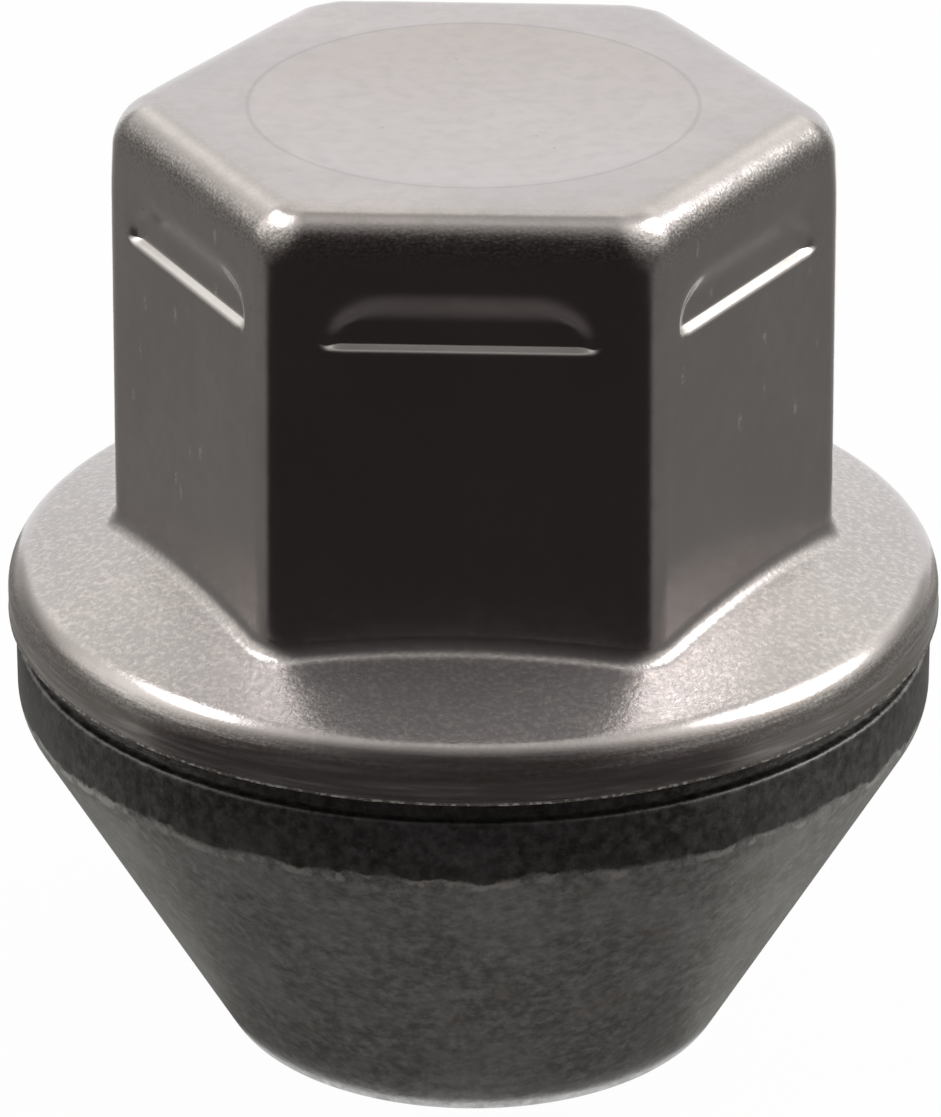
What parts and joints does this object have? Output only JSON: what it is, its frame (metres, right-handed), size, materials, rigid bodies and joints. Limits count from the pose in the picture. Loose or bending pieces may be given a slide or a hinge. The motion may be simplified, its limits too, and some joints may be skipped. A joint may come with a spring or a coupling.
{
  "type": "capped lug nut",
  "caption": "Capped wheel nut: bright hexagonal sheet cap with dished top and round flange over a dark forged nut with a conical seat and a metric thread.",
  "frame": {"origin": "middle of the small end of the cone, on the thread's axis; the nut stands on that end", "axes": "+Z along the thread's axis from the small end of the cone to the closed top; two opposite corners of the hexagon on X, two flats facing +Y and -Y"},
  "size_m": [0.0282, 0.028, 0.0296],
  "materials": {
    "cap_sheet": "satin formed stainless sheet, slightly grained",
    "forged_nut": "dark phosphated forging, matt and finely mottled"
  },
  "bodies": {
    "root": {"cap": "cap_sheet", "nut_body": "forged_nut"}
  },
  "joints": []
}
